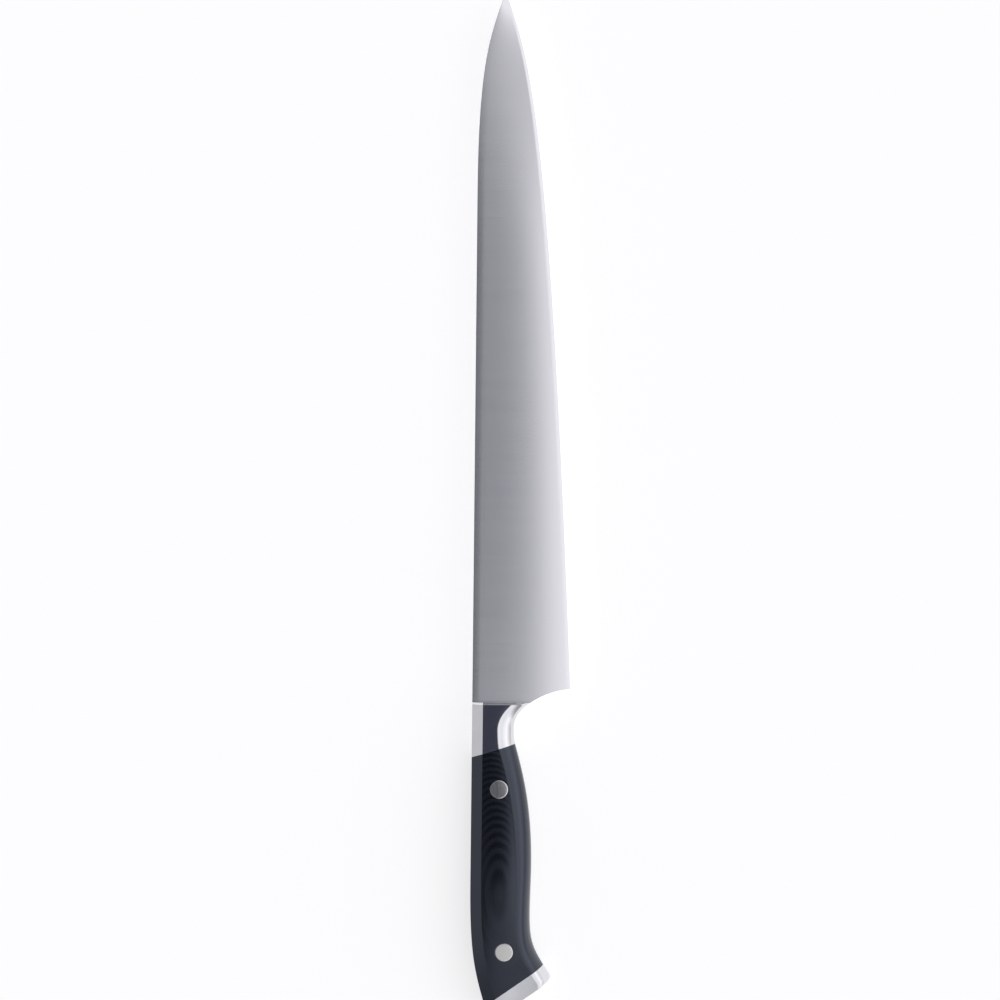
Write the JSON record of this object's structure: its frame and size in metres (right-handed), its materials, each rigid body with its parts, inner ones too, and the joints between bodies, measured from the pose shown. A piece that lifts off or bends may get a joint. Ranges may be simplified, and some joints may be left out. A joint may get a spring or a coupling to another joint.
{
  "type": "carving knife",
  "caption": "Long, slim carving and slicing knife with a full tang, black riveted laminate scales, polished steel bolster and butt cap.",
  "frame": {"origin": "centre of the knife's bounding box, on the surface that it lies on", "axes": "+X along the knife from the butt to the tip, +Y from the cutting edge to the spine, +Z out of the blade's right face; the knife lies on its left side"},
  "size_m": [0.3984, 0.038, 0.0172],
  "materials": {
    "satin_steel": "satin, brushed fine",
    "polished_steel": "mirror polished",
    "dowel_steel": "ground",
    "laminate": "black layered fabric laminate, satin",
    "rivet_metal": "ground flush and polished"
  },
  "bodies": {
    "root": {"blade": "satin_steel", "bolster_right": "polished_steel", "bolster_left": "polished_steel", "bolster_pins": "dowel_steel", "scale_right": "laminate", "scale_left": "laminate", "front_rivet_stud": "rivet_metal", "front_rivet_sleeve": "rivet_metal", "rear_rivet_stud": "rivet_metal", "rear_rivet_sleeve": "rivet_metal", "butt_cap_right": "polished_steel", "butt_cap_left": "polished_steel", "butt_cap_pins": "dowel_steel"}
  },
  "joints": []
}
